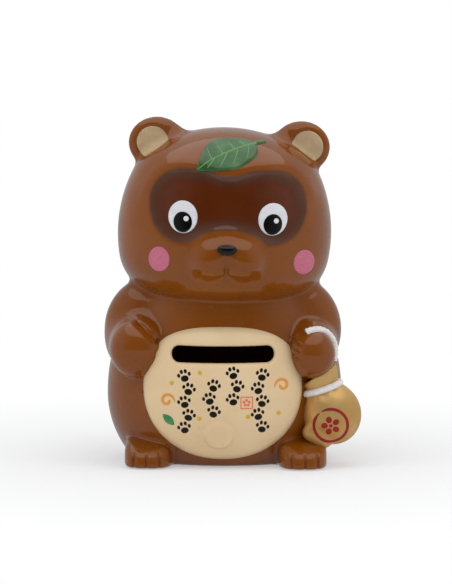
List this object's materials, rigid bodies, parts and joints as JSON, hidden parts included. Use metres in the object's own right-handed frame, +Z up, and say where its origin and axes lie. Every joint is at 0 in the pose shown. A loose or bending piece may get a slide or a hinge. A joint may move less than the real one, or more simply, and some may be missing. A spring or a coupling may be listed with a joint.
{
  "type": "tanuki coin bank",
  "caption": "Seated glazed ceramic tanuki coin bank with a slotted belly, a lucky bag in one paw and a rubber stopper in the base.",
  "frame": {"origin": "on the table, below the body's upright axis, in the plane of the base", "axes": "+Z up, -Y the way the face looks, +X to the viewer's right, which is the animal's own left"},
  "size_m": [0.1117, 0.0997, 0.1497],
  "materials": {
    "brown_glaze": "glossy amber-brown glaze",
    "dark_glaze": "glossy dark brown glaze",
    "cream_glaze": "satin cream glaze",
    "ear_beige": "matt beige slip",
    "black_enamel": "glossy black enamel",
    "white_enamel": "glossy white enamel",
    "pink_enamel": "matt pink enamel",
    "leaf_green": "glossy green enamel",
    "gold_lustre": "satin gold lustre",
    "cord_white": "matt white slip",
    "stopper_rubber": "soft translucent white rubber"
  },
  "bodies": {
    "statue": {"base_plate": "brown_glaze", "torso_shell": "brown_glaze", "torso_rear": "brown_glaze", "head_shell": "brown_glaze", "head_rear": "brown_glaze", "belly_drum": "cream_glaze", "navel": "cream_glaze", "ear_left": "brown_glaze", "ear_right": "brown_glaze", "ear_lining_left": "ear_beige", "ear_lining_right": "ear_beige", "face_mask": "dark_glaze", "muzzle": "brown_glaze", "nose": "black_enamel", "eye_left": "white_enamel", "eye_right": "white_enamel", "pupil_left": "black_enamel", "pupil_right": "black_enamel", "eye_glint_left": "white_enamel", "eye_glint_right": "white_enamel", "cheek_left": "pink_enamel", "cheek_right": "pink_enamel", "leaf": "leaf_green", "arm_left": "brown_glaze", "arm_right": "brown_glaze", "foot_left": "brown_glaze", "foot_right": "brown_glaze", "tail": "brown_glaze", "pouch": "gold_lustre", "pouch_collar": "gold_lustre", "pouch_tie": "cord_white", "shoulder_cord": "cord_white"},
    "base_stopper": {"stopper": "stopper_rubber"}
  },
  "joints": [
    {"name": "stopper_pull", "type": "slide", "parent": "statue", "child": "base_stopper", "axis": [0, 0, -1], "range_m": [0, 0.03]}
  ]
}
